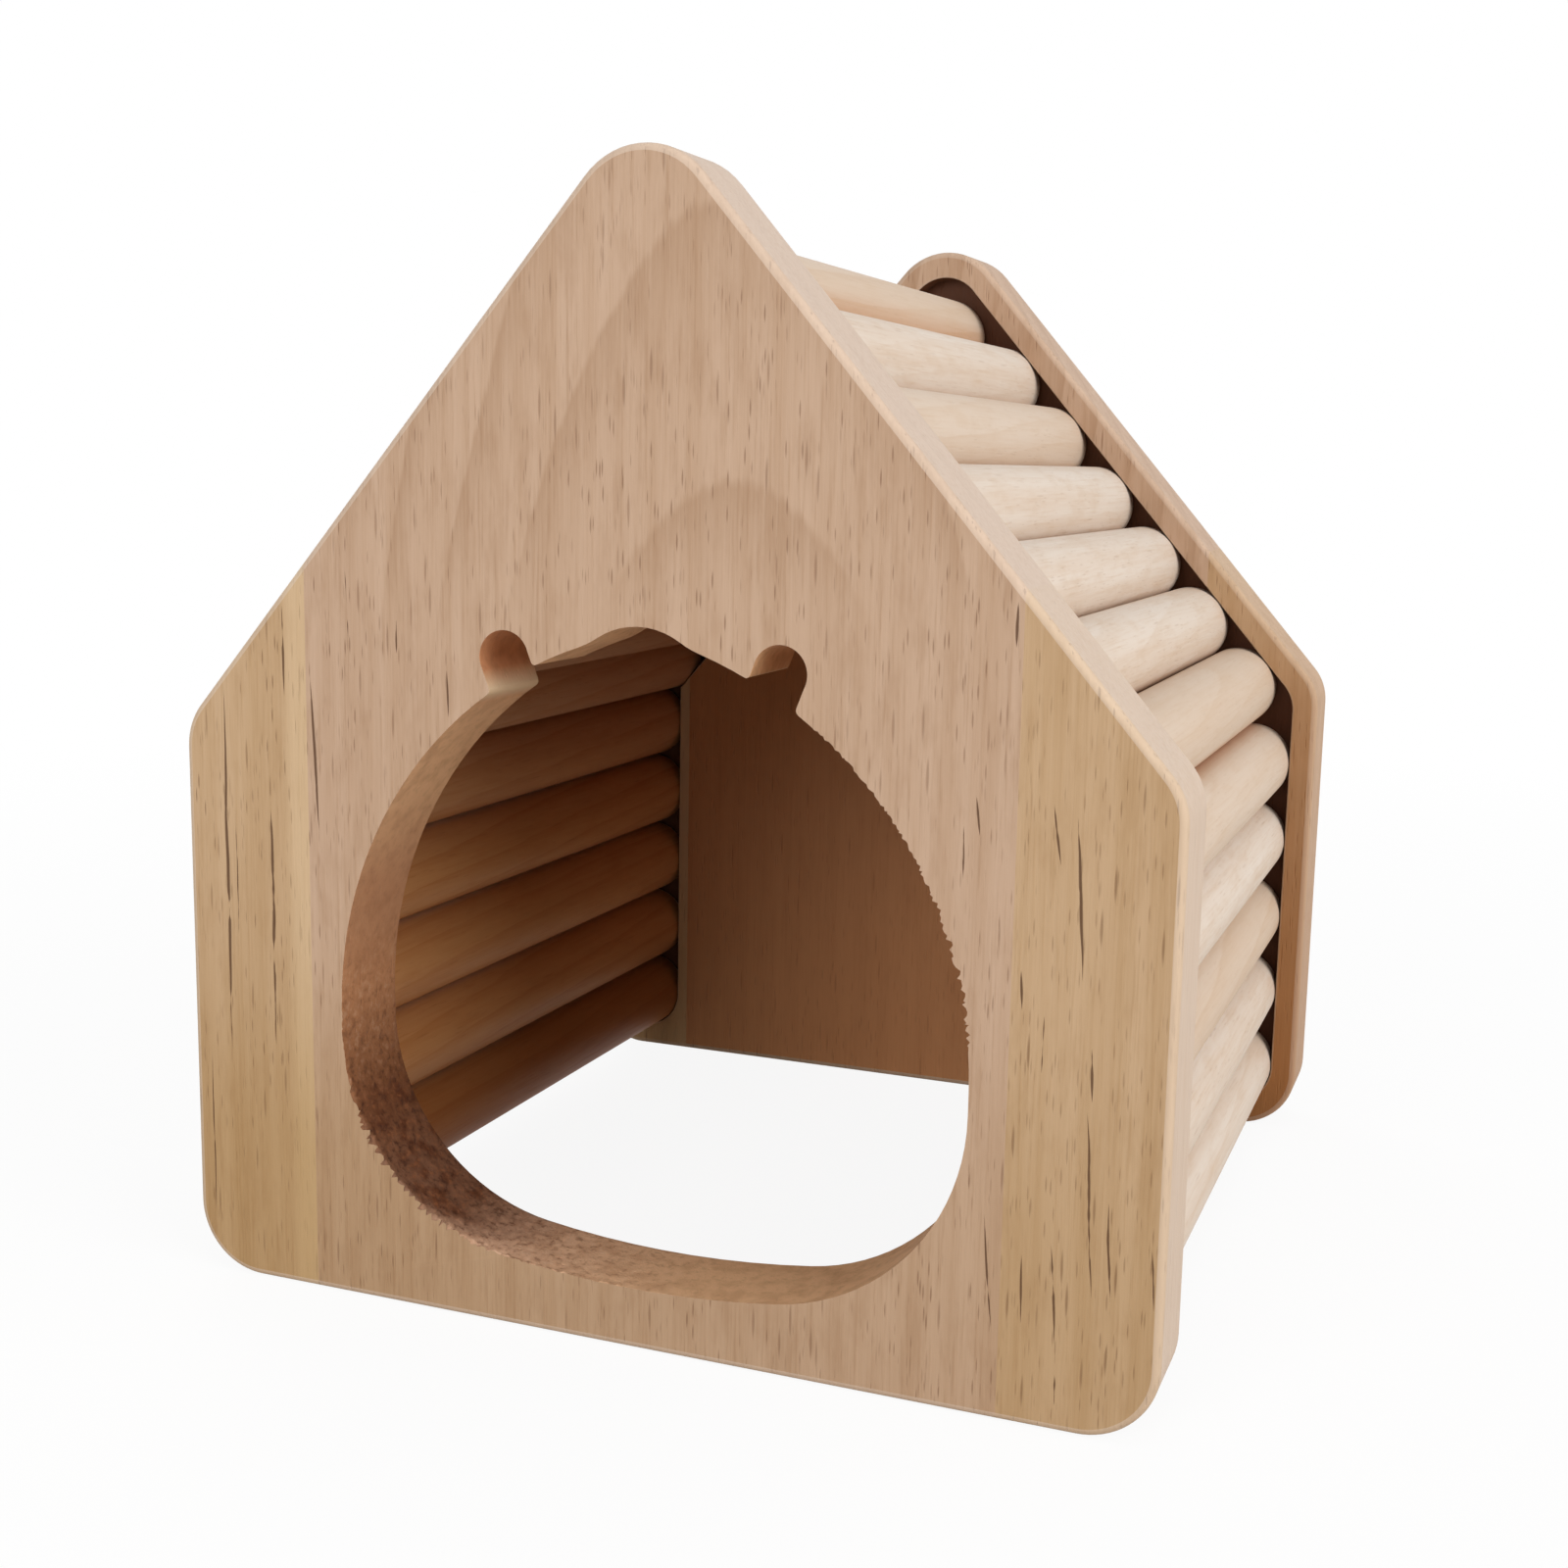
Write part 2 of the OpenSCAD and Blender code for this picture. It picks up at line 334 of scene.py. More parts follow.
thread = times(bare_wood, ease(bare_wood, fibre["Fine"], 0.5, 0.75), 0.4)
for share in (blotch, figure, thread):
    colour = mix(bare_wood, share, colour, g["Late"])
gleam = times(bare_wood, ease(bare_wood, fibre["Fine"], 0.5, 0.25), 0.4)
colour = mix(bare_wood, gleam, colour, g["Pale"])
colour = mix(bare_wood, times(bare_wood, dark, 0.8), colour, g["Pore"])
for label in ("Fine", "Broad"):
    bare_wood.links.new(fibre[label], out[label])
bare_wood.links.new(colour, out["Colour"])
bare_wood.links.new(dark, out["Dark"])
print("group:", bare_wood.name, len(bare_wood.nodes), "nodes")

# %% [markdown]
# ## Painted shade
# What faces the room, and the foot of the boards, is given painted shade. Flat paint would hide
# the grain, so the painted shade multiplies the wood's own colour instead, by a colour of its own.

# %% Painted shade group
painted_shade, g, out = new_group(
    "painted_shade", [("Colour", "Color", None), ("Stain", "Color", None), ("Share", "Float", 1.0)],
    [("Colour", "Color")])
shaded_colour = add(painted_shade, "ShaderNodeMix", {0: 1.0, 6: g["Colour"], 7: g["Stain"]}, data_type="RGBA",
              blend_type="MULTIPLY").outputs[2]
painted_shade.links.new(mix(painted_shade, g["Share"], g["Colour"], shaded_colour), out["Colour"])
print("group:", painted_shade.name, len(painted_shade.nodes), "nodes")

# %% [markdown]
# ## Worked faces
# The faces of a board were worked by other tools and took other tones, and some carry painted
# light: the room side gets painted shade, the rim outside the groove is a browner wood with painted
# shade where it lies sheltered, the sanded edge is pale, the groove is painted dark as shade, and an
# eased arris gets a painted highlight, the palest tone of all.

# %% Worked faces group
worked, g, out = new_group(
    "worked_faces",
    [("Colour", "Color", None), ("Fine", "Float", 0.5), ("Broad", "Float", 0.5),
     ("Room side", "Float", 0.0), ("Rim", "Float", 0.0), ("Edge", "Float", 0.0),
     ("Groove", "Float", 0.0), ("Eased", "Float", 0.0)],
    [("Colour", "Color")])
# Painted shade on the room side: the wood's colour multiplied, then mixed half way towards brown.
colour = use(worked, painted_shade, Colour=g["Colour"], Stain=tint(252, 210, 168), Share=g["Room side"])["Colour"]
colour = mix(worked, times(worked, g["Room side"], 0.5), colour, tint(196, 141, 96))
# The rim is partly a browner wood and partly painted shade, where the house shelters it from light.
colour = mix(worked, g["Rim"], colour, mix(worked, g["Broad"], tint(170, 115, 66), tint(142, 88, 44)))
sanded = times(worked, g["Edge"], scaled(worked, g["Fine"], -0.6, 1.08))
colour = mix(worked, sanded, colour, tint(212, 194, 179))
# The groove is painted dark, as the shade that lies in it between the dowels.
colour = mix(worked, g["Groove"], colour, tint(92, 52, 28))
# A painted highlight on the eased arris.
colour = mix(worked, times(worked, g["Eased"], 0.4), colour, tint(230, 213, 196))
worked.links.new(colour, out["Colour"])
print("group:", worked.name, len(worked.nodes), "nodes")

# %% [markdown]
# ## Splits
# A few dark splits stand out on the staves, most on the narrow ones. They belong to these boards
# alone, so they are placed one by one. A split is a thin upright lens: its half width shrinks to
# nothing at both ends. Wave moves it sideways with the grain and Breaks closes it here and there;
# both come from the material, where they are worked out once for all splits. Only the front face
# is split, so nothing shows behind a plane a few millimetres inside the front board.

# %% Splits group
split_back = -59.0
least_width = 0.0001

splits, g, out = new_group(
    "split",
    [("Place", "Vector", None), ("Middle X", "Float", 0.0), ("Middle Z", "Float", 50.0),
     ("Half length", "Float", 10.0), ("Half width", "Float", 0.3), ("Lean", "Float", 0.0),
     ("Wave", "Float", 0.0), ("Breaks", "Float", 1.0)],
    [("Split", "Float")])
xyz = axes(splits, g["Place"])
up = calc(splits, "SUBTRACT", xyz[2], g["Middle Z"])
side = calc(splits, "SUBTRACT", xyz[0], g["Middle X"])
side = calc(splits, "SUBTRACT", side, times(splits, up, g["Lean"]))
side = calc(splits, "ABSOLUTE", calc(splits, "ADD", side, g["Wave"]))
reach = calc(splits, "POWER", calc(splits, "DIVIDE", up, g["Half length"]), 2.0)
taper = calc(splits, "SUBTRACT", 1.0, reach, clamp=True)
half = scaled(splits, times(splits, taper, g["Breaks"]), g["Half width"], least_width)
gap = ease(splits, calc(splits, "DIVIDE", side, half), 1.1, 0.35)
on_face = calc(splits, "LESS_THAN", xyz[1], split_back)
splits.links.new(times(splits, gap, on_face), out["Split"])
print("group:", splits.name, len(splits.nodes), "nodes")

# %% [markdown]
# ## What every wood needs
# A pattern could be laid on with a UV map, but wood is solid: its figure goes on round each edge.
# So all patterns read the place in space, in millimetres. A number that the mesh carries, its lot,
# moves the pattern for each piece, so that no two look alike. Other numbers on the mesh say how a
# face was worked and where painted shade and painted highlights lie. A low bump makes the fibres
# rise and the pores sink.

# %% Places, marks and the finish
lot_shift = (137.0, 71.0, 311.0)
fibre_relief = 0.0004


def new_material(name):
    """A material and its empty tree."""
    material = bpy.data.materials.new(name)
    material.use_nodes = True
    material.node_tree.nodes.clear()
    return material, material.node_tree


def mark(tree, name):
    """A number that the mesh carries on its faces, corners or points."""
    return add(tree, "ShaderNodeAttribute", attribute_name=name).outputs["Fac"]


def stretched(tree, vector, factor):
    """A vector made longer by a factor."""
    return add(tree, "ShaderNodeVectorMath", {0: vector, "Scale": factor}, operation="SCALE").outputs[0]


def millimetres(tree):
    """The place in millimetres, and the same moved by the piece's own lot."""
    place = stretched(tree, add(tree, "ShaderNodeTexCoord").outputs["Object"], 1000.0)
    return place, vector_calc(tree, "ADD", place, stretched(tree, lot_shift, mark(tree, "piece_lot")))


def finish_wood(tree, colour, rough, height, strength):
    """The surface itself: bare wood, hardly shiny, with a low bump."""
    bump = add(tree, "ShaderNodeBump", {"Height": height, "Strength": strength, "Distance": fibre_relief})
    shader = add(tree, "ShaderNodeBsdfPrincipled",
                 {"Base Color": colour, "Roughness": rough, "Normal": bump.outputs[0],
                  "Specular IOR Level": 0.3})
    add(tree, "ShaderNodeOutputMaterial", {"Surface": shader.outputs[0]})


print("a lot of 1 moves the pattern by", lot_shift, "mm")

# %% [markdown]
# ## Where the boards change tone
# A board isn't the same all over. Painting the changes would need a picture, but each of these
# follows the height or the width of the house, so a smooth step in millimetres is enough.

# %% Tones of the boards
arch_fade = (86.0, 99.0)
foot_shade_fade, foot_shade_lean = (50.0, 15.0), (30.0, -40.0)
sapwood_fade = (-48.6, -46.2)


def figure_fade(tree, place):
    """The arches show in the gable and die away towards the door."""
    return scaled(tree, ease(tree, axes(tree, place)[2], *arch_fade), 0.47, 0.1)


def foot_shade_share(tree, place):
    """Painted shade: the boards are darker and yellower towards the foot, most of all on the left."""
    xyz = axes(tree, place)
    leftward = scaled(tree, ease(tree, xyz[0], *foot_shade_lean), 0.55, 0.45)
    return times(tree, ease(tree, xyz[2], *foot_shade_fade), leftward)


def sapwood_share(tree, place):
    """The left-hand side staves end in a pale streak at the seam."""
    across = axes(tree, place)[0]
    return times(tree, ease(tree, across, *sapwood_fade), calc(tree, "LESS_THAN", across, 0.0))


print("in mm: arches fade in over", arch_fade, "and the foot's yellow over", foot_shade_fade)

# %% [markdown]
# ## The wall of the door
# The door's wall is cut across the fibres and takes tones of its own: redder in the ears and furry
# where it is torn. It is paler on the sill and near the top, partly its own tone and partly painted
# light where these faces catch the light, and dark in the lower left corner, partly as darker end
# grain and partly as painted shade. One stain for all would look painted, so the tones are laid over
# each other, each with its own mask.

# %% Tones of the door
torn_marks = ("torn", "dark_grain_and_shade", "frayed_and_highlight")
sill_light_fade, upper_light_fade = (26.0, 14.0), (50.0, 68.0)
ear_height, ear_side = (75.0, 79.0), (14.0, 18.0)


def door_tone(tree, place, colour):
    """The tones of the door's wall, laid over the wood's colour."""
    torn, dark_grain_and_shade, frayed_and_highlight = (mark(tree, name) for name in torn_marks)
    xyz = axes(tree, place)
    sill, upper_light = ease(tree, xyz[2], *sill_light_fade), ease(tree, xyz[2], *upper_light_fade)
    outside = ease(tree, calc(tree, "ABSOLUTE", xyz[0]), *ear_side)
    ears = times(tree, ease(tree, xyz[2], *ear_height), outside)
    tuft = noise(tree, place, 0.9, 1.0, 3.0, 0.6)
    cloud = noise(tree, place, 2.4, 2.4)
    # Paler on the sill and near the top: partly the cut's own tone, partly painted light.
    cut = mix(tree, calc(tree, "MAXIMUM", sill, upper_light), tint(190, 139, 101), tint(226, 181, 137))
    cut = mix(tree, ears, cut, tint(208, 146, 104))
    # The torn wall is paler on the sill, partly as painted light.
    cut = mix(tree, torn, cut, mix(tree, sill, tint(192, 132, 87), tint(206, 164, 134)))
    cut = mix(tree, times(tree, ease(tree, cloud, 0.4, 0.7), 0.3), cut, tint(158, 108, 72))
    # Painted shade, with darker end grain, in the lower left corner and at the back of the sill.
    corner_shade = times(tree, dark_grain_and_shade, scaled(tree, ease(tree, cloud, 0.6, 0.3), 0.14, 0.84))
    cut = mix(tree, corner_shade, cut, tint(92, 50, 26))
    pit = times(tree, ease(tree, tuft, 0.5, 0.3), scaled(tree, torn, 0.55, 0.15))
    # In the painted shade of the corner the pits and the fluff are darker too.
    cut = mix(tree, pit, cut, mix(tree, dark_grain_and_shade, tint(112, 70, 44), tint(58, 29, 15)))
    fluff = times(tree, ease(tree, tuft, 0.52, 0.7), scaled(tree, torn, 0.5, 0.05))
    cut = mix(tree, fluff, cut, mix(tree, dark_grain_and_shade, tint(222, 184, 152), tint(146, 92, 58)))
    # Pale torn fibres and a painted highlight on the lower left tip.
    cut = mix(tree, frayed_and_highlight, cut, tint(228, 200, 164))
    return mix(tree, mark(tree, "door_cut"), colour, cut)


print("marks on the door's points:", torn_marks)

# %% [markdown]
# ## The wood of the staves
# The broad middle stave is pinkish and flat sawn, with arches; the narrow side staves are
# yellower and straight. The same recipe makes both, with its own colours, rings and splits. A
# split is written as the X and Z of its middle, half its length, half its width and its lean, in
# millimetres on the front of the house.

# %% Stave materials
stave_finish = {"Room_side": "room_side", "Rim": "rim", "Edge": "sanded_edge", "Groove": "groove_cut",
                "Eased": "eased_highlight"}


def stave_wood(name, has_door, palette, ring_values, split_list):
    """The recipe of a stave: bare wood, then splits, then the tones of its worked faces."""
    material, tree = new_material(name)
    place, own = millimetres(tree)
    wood = use(tree, bare_wood, Place=own, Figure=figure_fade(tree, place), **palette, **ring_values)
    wave = scaled(tree, noise(tree, place, 9, 14), 0.7, -0.35)
    breaks = ease(tree, noise(tree, place, 2.0, 4.0), 0.28, 0.55)
    split = 0.0
    for middle_x, middle_z, half_length, half_width, lean in split_list:
        line = use(tree, splits, Place=place, Middle_X=middle_x, Middle_Z=middle_z, Half_length=half_length,
                   Half_width=half_width, Lean=lean, Wave=wave, Breaks=breaks)["Split"]
        split = calc(tree, "MAXIMUM", line, split)
    colour = wood["Colour"]
    if not has_door:
        colour = mix(tree, times(tree, sapwood_share(tree, place), 0.5), colour, tint(222, 194, 156))
    # Painted shade towards the foot, most on the left.
    foot_shade = foot_shade_share(tree, place)
    colour = use(tree, painted_shade, Colour=colour, Stain=tint(236, 229, 211), Share=foot_shade)["Colour"]
    colour = mix(tree, times(tree, split, 0.9), colour, tint(86, 55, 31))
    marks = {label: mark(tree, attribute) for label, attribute in stave_finish.items()}
    colour = use(tree, worked, Colour=colour, Fine=wood["Fine"], Broad=wood["Broad"], **marks)["Colour"]
    if has_door:
        colour = door_tone(tree, place, colour)
    rough = scaled(tree, wood["Fine"], 0.2, 0.55)
    hollow = calc(tree, "MAXIMUM", wood["Dark"], split)
    height = calc(tree, "SUBTRACT", times(tree, wood["Fine"], 0.35), hollow)
    finish_wood(tree, colour, rough, height, 0.35)
    print("material:", name, len(tree.nodes), "nodes")
    return material


middle_wood = stave_wood(
    "middle_stave_wood", True,
    dict(Pale=tint(204, 174, 149), Tan=tint(194, 162, 135), Late=tint(168, 132, 102),
         Pore=tint(118, 80, 54)),
    dict(Pith_X=11.4, Pith_Y=-30.5, Lean=0.17, First_ring=50.15, Ring_width=5.1, Wander=1.2),
    [(-43.4, 68.7, 9.6, 0.27, -0.05), (-38.5, 87.2, 4.0, 0.2, -0.02), (-31.6, 83.7, 2.0, 0.2, 0.0),
     (-24.8, 77.3, 2.8, 0.17, -0.03), (38.7, 63.9, 3.0, 0.15, -0.03), (40.2, 68.0, 2.1, 0.18, -0.12),
     (43.7, 88.6, 2.4, 0.24, 0.0), (43.0, 17.2, 6.6, 0.17, -0.1)])
side_wood = stave_wood(
    "side_stave_wood", False,
    dict(Pale=tint(205, 174, 139), Tan=tint(194, 161, 123), Late=tint(174, 138, 98),
         Pore=tint(112, 76, 45)),
    dict(Pith_X=0.0, Pith_Y=90.0, Lean=0.02, First_ring=0.0, Ring_width=3.4, Wander=2.0),
    [(-56.7, 52.7, 24.0, 0.3, 0.004), (-50.0, 48.5, 17.3, 0.3, 0.0), (-47.8, 81.2, 5.6, 0.22, 0.0),
     (-55.3, 53.0, 8.0, 0.13, 0.01), (-59.9, 18.4, 11.0, 0.13, 0.0), (48.9, 66.9, 3.4, 0.18, -0.15),
     (51.6, 60.0, 8.8, 0.24, -0.07), (54.0, 26.6, 10.5, 0.22, -0.06), (53.7, 41.1, 3.0, 0.2, -0.05),
     (56.4, 21.7, 5.6, 0.2, -0.05), (50.5, 15.8, 5.8, 0.2, -0.07), (46.9, 15.9, 4.0, 0.16, -0.03),
     (51.0, 6.1, 3.0, 0.2, 0.0), (45.7, 49.5, 2.2, 0.2, -0.06), (48.3, 43.8, 3.2, 0.14, 0.0),
     (61.3, 19.3, 3.4, 0.15, -0.05)])

# %% [markdown]
# ## The wood of the dowels
# The dowels are turned from a paler wood and are hardly marked. Their grain runs along Y, from
# board to board, so Y and Z change places before the groups see them. The side that faces the
# room gets painted shade, browner and darker, most of all near the ground, where the lowest dowels
# are painted darker still. The lot of a dowel, a number from 0 to 1, also says how tan it is and
# how clearly its rings show.

# %% Dowel material
dowel_wood, tree = new_material("dowel_wood")
place, own = millimetres(tree)
xyz = axes(tree, own)
along = add(tree, "ShaderNodeCombineXYZ", {0: xyz[0], 1: xyz[2], 2: xyz[1]}).outputs[0]
up = axes(tree, place)[2]
lot, room = mark(tree, "piece_lot"), mark(tree, "room_side")
figure = scaled(tree, room, 0.6, scaled(tree, lot, 0.35, 0.1))
figure = scaled(tree, ease(tree, lot, 0.93, 0.97), 0.4, figure)
wood = use(tree, bare_wood, Place=along, Pale=tint(225, 212, 199), Tan=tint(218, 200, 183),
           Late=tint(205, 177, 149), Pore=tint(166, 126, 92), Pith_X=60.0, Pith_Y=-40.0, Lean=0.06,
           Ring_width=3.6, Wander=5.0, Figure=figure, Pores=0.45)
tanned = times(tree, ease(tree, lot, 0.5, 1.0), 0.6)
colour = mix(tree, tanned, wood["Colour"], tint(206, 180, 154))
# Painted shade on the room side, heavier towards the ground.
room_shade = times(tree, room, scaled(tree, ease(tree, up, 85.0, 45.0), 0.3, 0.6))
colour = use(tree, painted_shade, Colour=colour, Stain=tint(233, 172, 98), Share=room_shade)["Colour"]
# More painted shade on the room side near the ground, on the lowest dowels.
ground_shade = times(tree, room, ease(tree, up, 26.0, 8.0))
colour = use(tree, painted_shade, Colour=colour, Stain=tint(192, 166, 136), Share=ground_shade)["Colour"]
# A painted highlight on the rounded ends.
colour = mix(tree, times(tree, mark(tree, "eased_highlight"), 0.5), colour, tint(232, 220, 206))
rough = scaled(tree, wood["Fine"], 0.2, 0.52)
height = calc(tree, "SUBTRACT", times(tree, wood["Fine"], 0.3), wood["Dark"])
finish_wood(tree, colour, rough, height, 0.2)
print("material:", dowel_wood.name, len(tree.nodes), "nodes")

# %% [markdown]
# ## The faces of a stave
# Each stave is a copy of its CAD solid. The copy is loose triangles, so its doubles are merged
# and flat triangles dissolved into whole faces. Then each face is told apart by where it lies and
# which way it looks: what the saw, the router and the sander made takes other tones, and the room
# side, the sheltered rim and the groove take painted shade. The marks are numbers on the faces,
# which the materials read.

# %% Faces of a stave
MM = 0.001
tiny, same_place, weld_gap, a_hair = 0.001 * MM, 0.002 * MM, 0.003 * MM, 0.01 * MM
flat_angle = math.radians(0.4)
stave_low, stave_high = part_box("front_right_stave")
outer_y, inner_y, glue_x = -stave_low.y, -stave_high.y, stave_low.x
door_half, door_foot, door_head = 41 * MM, 6 * MM, 90 * MM
rim_x, rim_z = 60 * MM, 125 * MM
face_marks = ("sanded_edge", "door_cut", "groove_cut", "room_side", "eased_highlight")
back_edge_brown = 0.75
rim_least, rim_shade_more, rim_shade_fade = 0.15, 0.8, (86, 54)


def near(a, b):
    """Whether two lengths are the same but for rounding."""
    return abs(a - b) < same_place


def is_flat(face):
    """Whether a face looks to the front or to the back."""
    return abs(face.normal.y) > 0.5


def stave_mesh(node_name):
    """A copy of a stave's solid, in whole faces."""
    bm = bmesh.new()
    bm.from_mesh(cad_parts[node_name].data)
    bmesh.ops.remove_doubles(bm, verts=bm.verts, dist=weld_gap)
    bmesh.ops.dissolve_limit(bm, angle_limit=flat_angle, verts=bm.verts, edges=bm.edges)
    return bm


def fade(value, zero, one):
    """A straight ramp from 0 to 1."""
    return min(1.0, max(0.0, (value - zero) / (one - zero)))


def rim_shade_share(x, z):
    """How brown the rim is at a place in millimetres: browner wood, with painted shade most on the
    sheltered right-hand wall.
    """
    return rim_least + rim_shade_more * fade(z, *rim_shade_fade) if x > 0 else rim_least


def mark_faces(bm, which):
    """Tells apart what the saw, the router and the sander made, and returns the layers."""
    layer = {name: bm.faces.layers.float.new(name) for name in face_marks}
    rim = bm.loops.layers.float.new("rim")
    for f in bm.faces:
        reach = max(abs(v.co.y) for v in f.verts)
        middle = f.calc_center_median()
        in_door = abs(middle.x) < door_half and door_foot < middle.z < door_head
        brown = 0.0
        if is_flat(f) and near(reach, inner_y):
            if max(abs(v.co.x) for v in f.verts) > rim_x or max(v.co.z for v in f.verts) > rim_z:
                brown = 1.0
            else:
                f[layer["room_side"]] = 1.0
        elif reach < outer_y - a_hair:
            f[layer["groove_cut"]] = 1.0
        elif is_flat(f):
            continue
        elif which == "front_middle" and in_door:
            f[layer["door_cut"]] = 1.0
        elif not near(abs(middle.x), glue_x):
            f[layer["sanded_edge"]] = 1.0
            brown = back_edge_brown if which.startswith("back") else 0.0
        # The rim's brown, and the back board's browner sanded edges, carry painted shade on the sheltered
        # right-hand wall.
        for corner in f.loops:
            corner[rim] = brown * rim_shade_share(corner.vert.co.x / MM, corner.vert.co.z / MM)
    return layer


print("boards from", round(inner_y / MM, 2), "to", round(outer_y / MM, 2), "mm, glue lines at",
      round(glue_x / MM, 2), "mm")

# %% [markdown]
# ## Eased arrises
# No edge of a real board is sharp. The arrises are eased most on the outline, which is handled,
# less round the door and least at the groove. A Bevel modifier would round every edge alike, so the
# edges are chosen by the faces they part. Those on a glue line stay sharp, so that the three staves
# read as one board with a fine seam.

# %% Eased arrises
arris_angle = math.radians(25)
arrises = {"sanded_edge": (0.9 * MM, 4), "door_cut": (0.4 * MM, 3), "groove_cut": (0.25 * MM, 2)}


def is_arris(e):
    """Whether two faces meet outwards at this edge, at more than a slight angle."""
    return len(e.link_faces) == 2 and e.calc_face_angle(0.0) >= arris_angle and e.is_convex


def sharp_edges(bm, layer, kind):
    """Edges between a flat side of the board and a face of the given kind."""
    found = []
    for e in bm.edges:
        one, two = (v.co.x for v in e.verts)
        on_glue_line = near(one, two) and near(abs(one), glue_x)
        of_kind = any(f[layer[kind]] == 1.0 for f in e.link_faces)
        if is_arris(e) and of_kind and any(map(is_flat, e.link_faces)) and not on_glue_line:
            found.append(e)
    return found


def round_edges(bm, edges, width, segments):
    """Rounds edges and returns the new faces."""
    return bmesh.ops.bevel(bm, geom=edges, offset=width, offset_type="OFFSET", affect="EDGES",
                           segments=segments, profile=0.5, material=-1, clamp_overlap=True,
                           loop_slide=True)["faces"]


def ease_edges(bm, layer, kind, left_torn=()):
    """Eases the arrises of one kind, but for those that are left torn, and marks the new faces."""
    width, segments = arrises[kind]
    chosen = [e for e in sharp_edges(bm, layer, kind) if e not in left_torn]
    for f in round_edges(bm, chosen, width, segments):
        for name in face_marks:
            f[layer[name]] = 0.0
        # The new faces carry the painted highlight of an eased arris.
        f[layer["eased_highlight"]] = 1.0


print("arrises in mm:", {kind: width / MM for kind, (width, segments) in arrises.items()})

# %% [markdown]
# ## A finished piece
# Every shown piece stands for one CAD node. It is tied to the body that carries it, takes that
# node's place and gets its material in a slot, so that a user can swap the wood later.

# %% New piece
smooth_angle = math.radians(40)


def new_piece(bm, name, node_name, material, lot):
    """Turns a bmesh into a shown piece that stands for a CAD node."""
    lot_layer = bm.verts.layers.float.new("piece_lot")
    for v in bm.verts:
        v[lot_layer] = lot
    for f in bm.faces:
        f.smooth = True
    mesh = bpy.data.meshes.new(name)
    bm.to_mesh(mesh)
    bm.free()
    mesh.set_sharp_from_angle(angle=smooth_angle)
    mesh.materials.append(material)
    piece = bpy.data.objects.new(name, mesh)
    scene.collection.objects.link(piece)
    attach(piece, "root")
    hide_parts(node_name)
    return piece


print("edges stay smooth up to", round(math.degrees(smooth_angle)), "degrees")

# %% [markdown]
# ## Where the door is torn
# A jigsaw or a dull cutter leaves the grain torn where it runs out across the fibres. Here that
# is the lower left of the door, where the edge is ragged and the wall is furry and brown, partly with
# painted shade, and the right cheek, where fine teeth run along the edge. Each of these is a share
# from 0 to 1 that falls off with the distance from its worst place, so that it can be changed by
# moving one point.

# %% Shares of the torn door
torn_x, torn_z, torn_width, torn_fade = -31, 17, 1.3, (31, 11)
ragged_x, ragged_z, ragged_fade = -31.5, 16, (15, 8)
teeth_z, teeth_fade, teeth_least = 52, (14, 4), 0.35
corner_shade_x, corner_shade_z, corner_shade_fade = -34, 17, (23, 9)
corner_shade_depth, sill_start, sill_setback = (-3, 1), (-30, -15), 6


def torn_share(x, z):
    """How torn the door's wall is at a place in millimetres, from 0 to 1."""
    return fade(math.hypot((x - torn_x) / torn_width, z - torn_z), *torn_fade)


def ragged_share(x, z):
    """How ragged the edge is: most at the lower left corner, and on the right cheek at half height."""
    if x < 0:
        corner = fade(math.hypot(x - ragged_x, z - ragged_z), *ragged_fade)
        return 0.2 * torn_share(x, z) + 0.8 * corner
    return teeth_least + (1 - teeth_least) * fade(abs(z - teeth_z), *teeth_fade)


def dark_grain_and_shade_share(x, y, z):
    """How dark the wall is painted, as darker end grain and as shade: the whole corner, and the back of the
    sill.
    """
    depth = y + outer_y / MM - sill_setback * fade(x, *sill_start)
    return fade(math.hypot(x - corner_shade_x, z - corner_shade_z), *corner_shade_fade) * fade(depth, *corner_shade_depth)


print("torn at its worst place:", torn_share(torn_x, torn_z), "and straight above the sill:",
      round(torn_share(0, torn_z), 2))

# %% [markdown]
# ## Preparing the door
# A flat face with a hole in it must first be parted, or its filling may cross the hole. Two lines
# through the door's middle part it well: points of the edge that move straight outwards never
# cross them. The thin tips beside the ears are rounded first, because wood that thin is soon worn.

# %% Preparing the door
door_middle = Vector((0, 0, 45 * MM))
tip_round, tip_segments = 0.5 * MM, 3


def with_parts(faces):
    """Faces with their edges and points, as the cutting operators want them."""
    return list(set(faces) | {e for f in faces for e in f.edges} | {v for f in faces for v in f.verts})


def lies_at(parts, y):
    """Whether all points of faces or edges lie on the plane of that Y."""
    return all(near(v.co.y, y) for part in parts for v in part.verts)


def part_flats(bm):
    """Parts each flat side of the door board into four plain faces round the door."""
    for side in (-outer_y, -inner_y):
        for way in (Vector((1, 0, 0)), Vector((0, 0, 1))):
            flat = [f for f in bm.faces if lies_at([f], side)]
            bmesh.ops.bisect_plane(bm, geom=with_parts(flat), dist=tiny, plane_co=door_middle, plane_no=way)
        inner_lines = []
        for e in bm.edges:
            on_flat = len(e.link_faces) == 2 and lies_at(e.link_faces, side)
            on_cut = any(all(near(v.co[i], door_middle[i]) for v in e.verts) for i in (0, 2))
            if on_flat and not on_cut:
                inner_lines.append(e)
        bmesh.ops.dissolve_edges(bm, edges=inner_lines, use_verts=False)


